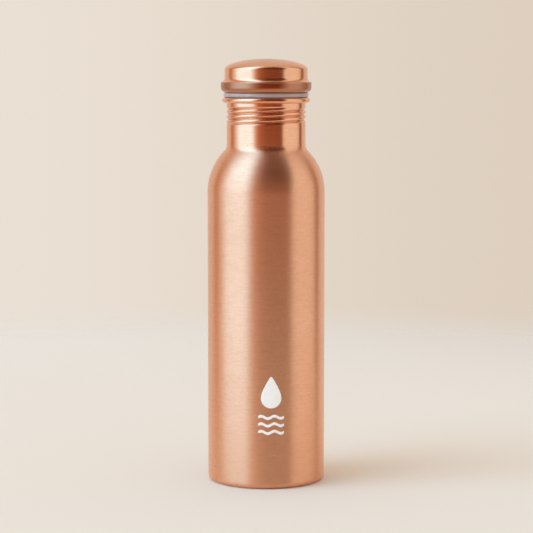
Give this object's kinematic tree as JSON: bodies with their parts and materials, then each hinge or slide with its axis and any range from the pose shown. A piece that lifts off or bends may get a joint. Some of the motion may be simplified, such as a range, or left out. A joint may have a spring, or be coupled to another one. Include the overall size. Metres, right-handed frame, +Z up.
{
  "type": "water bottle",
  "caption": "Tall round copper bottle with a domed shoulder, rolled thread on the neck, curled lip and a screw-in domed cap with a knurled rim and a seal ring.",
  "frame": {"origin": "on the table, at the centre of the foot", "axes": "+Z up along the bottle's axis, towards the cap; the body is round, and the printed mark faces -Y"},
  "size_m": [0.072, 0.072, 0.2598],
  "materials": {
    "copper_satin": "copper sheet, satin, brushed round the body, clear lacquer",
    "copper_polished": "copper sheet, polished",
    "braze": "dull brazing alloy",
    "silicone": "matte grey food-grade silicone",
    "print_ink": "white screen-printing ink, satin"
  },
  "bodies": {
    "bottle": {"bottle_shell": "copper_satin", "base_plate": "copper_satin", "base_braze": "braze"},
    "seal": {"cap_seal": "silicone"},
    "cap": {"cap_dome": "copper_polished", "cap_plug": "copper_polished"}
  },
  "joints": [
    {"name": "cap_lift", "type": "slide", "parent": "bottle", "child": "seal", "axis": [0, 0, 1], "range_m": [0, 0.031]},
    {"name": "cap_turn", "type": "hinge", "parent": "seal", "child": "cap", "pos_m": [0, 0, 0.24], "axis": [0, 0, 1], "range_deg": [0, 1800]}
  ],
  "couplings": [
    {"joint": "cap_lift", "follows": "cap_turn", "m_per_rad": 0.00098676}
  ]
}
